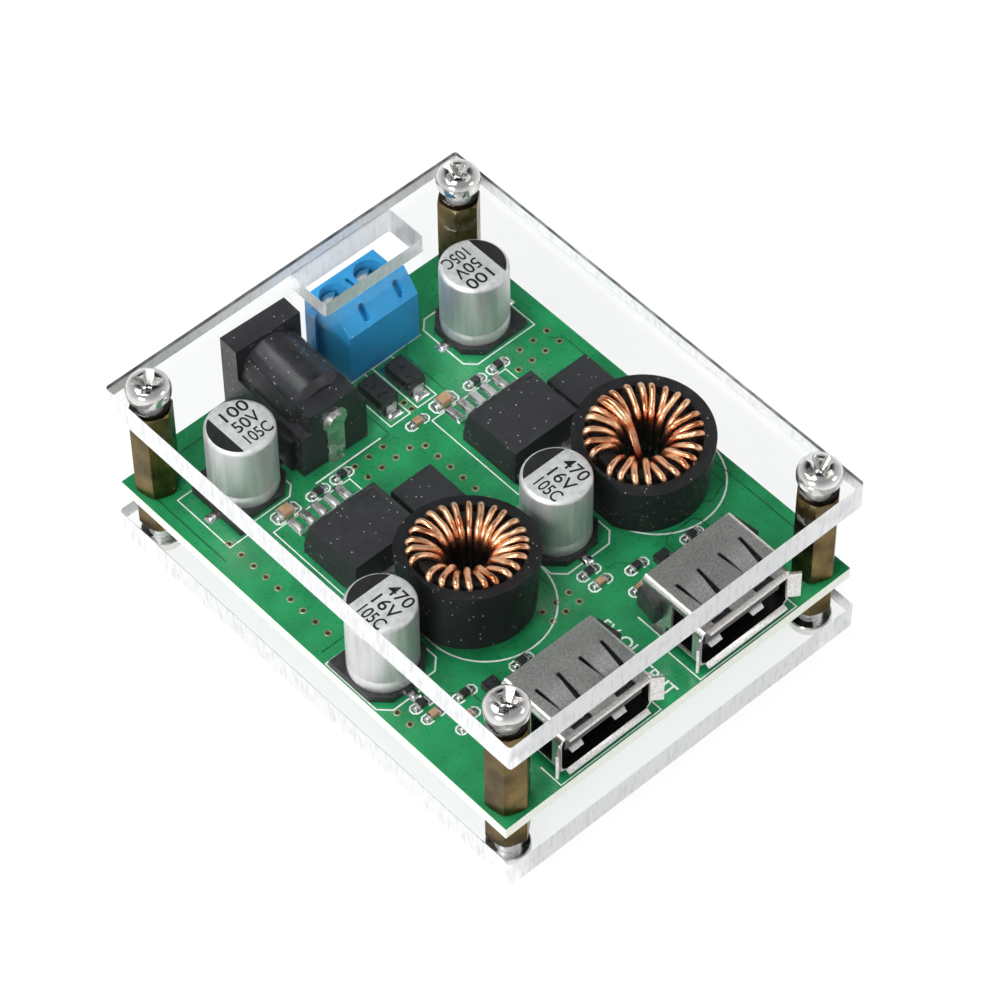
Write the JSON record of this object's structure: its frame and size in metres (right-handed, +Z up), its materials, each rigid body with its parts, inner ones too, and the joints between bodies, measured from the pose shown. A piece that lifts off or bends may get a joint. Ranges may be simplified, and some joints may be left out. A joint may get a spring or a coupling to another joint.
{
  "type": "buck converter module",
  "caption": "Step-down power converter board between clear plates, with a DC jack, a screw terminal and USB sockets.",
  "frame": {"origin": "on the floor under the middle of the plates, level with the heads of the lower screws", "axes": "+Z up; +Y towards the input side with the jack and screw terminal; the USB sockets face -Y"},
  "size_m": [0.0508, 0.0648, 0.029],
  "materials": {
    "clear_acrylic": "clear cast acrylic sheet, sawn edges",
    "nickel_steel": "nickel-plated steel",
    "chip_brown": "fired ceramic",
    "tinned_metal": "tin-plated metal",
    "chip_black": "glazed film on ceramic",
    "board_green": "glass-fibre laminate under glossy green solder mask",
    "black_plastic": "black moulded plastic",
    "ferrite": "pressed iron powder",
    "enamelled_copper": "enamelled copper wire",
    "aluminium_can": "drawn aluminium can",
    "epoxy_black": "black moulding compound",
    "nickel_brass": "brass with a thin nickel flash",
    "terminal_blue": "blue moulded nylon"
  },
  "bodies": {
    "root": {"base_plate": "clear_acrylic", "bottom_screws": "nickel_steel", "chip_capacitors": "chip_brown", "chip_end_caps": "tinned_metal", "chip_resistors": "chip_black", "circuit_board": "board_green", "jack_centre_pin": "tinned_metal", "jack_housing": "black_plastic", "jack_rear_tab": "tinned_metal", "jack_spring_contact": "tinned_metal", "left_inductor_core": "ferrite", "left_inductor_cup": "black_plastic", "left_inductor_winding": "enamelled_copper", "left_input_capacitor_base": "black_plastic", "left_input_capacitor_can": "aluminium_can", "left_input_capacitor_leads": "tinned_metal", "left_input_diode_body": "epoxy_black", "left_input_diode_straps": "tinned_metal", "left_output_capacitor_base": "black_plastic", "left_output_capacitor_can": "aluminium_can", "left_output_capacitor_leads": "tinned_metal", "left_power_diode_body": "epoxy_black", "left_power_diode_straps": "tinned_metal", "left_regulator_body": "epoxy_black", "left_regulator_leads": "tinned_metal", "left_regulator_tab": "tinned_metal", "left_usb_contacts": "tinned_metal", "left_usb_insulator": "black_plastic", "left_usb_shell": "tinned_metal", "lower_standoffs": "nickel_brass", "right_inductor_core": "ferrite", "right_inductor_cup": "black_plastic", "right_inductor_winding": "enamelled_copper", "right_input_capacitor_base": "black_plastic", "right_input_capacitor_can": "aluminium_can", "right_input_capacitor_leads": "tinned_metal", "right_input_diode_body": "epoxy_black", "right_input_diode_straps": "tinned_metal", "right_output_capacitor_base": "black_plastic", "right_output_capacitor_can": "aluminium_can", "right_output_capacitor_leads": "tinned_metal", "right_power_diode_body": "epoxy_black", "right_power_diode_straps": "tinned_metal", "right_regulator_body": "epoxy_black", "right_regulator_leads": "tinned_metal", "right_regulator_tab": "tinned_metal", "right_usb_contacts": "tinned_metal", "right_usb_insulator": "black_plastic", "right_usb_shell": "tinned_metal", "terminal_clamps": "tinned_metal", "terminal_housing": "terminal_blue", "terminal_pins": "tinned_metal", "terminal_screws": "tinned_metal", "top_plate": "clear_acrylic", "top_screws": "nickel_steel", "transistor_bodies": "epoxy_black", "transistor_legs": "tinned_metal", "upper_standoffs": "nickel_brass"}
  },
  "joints": []
}
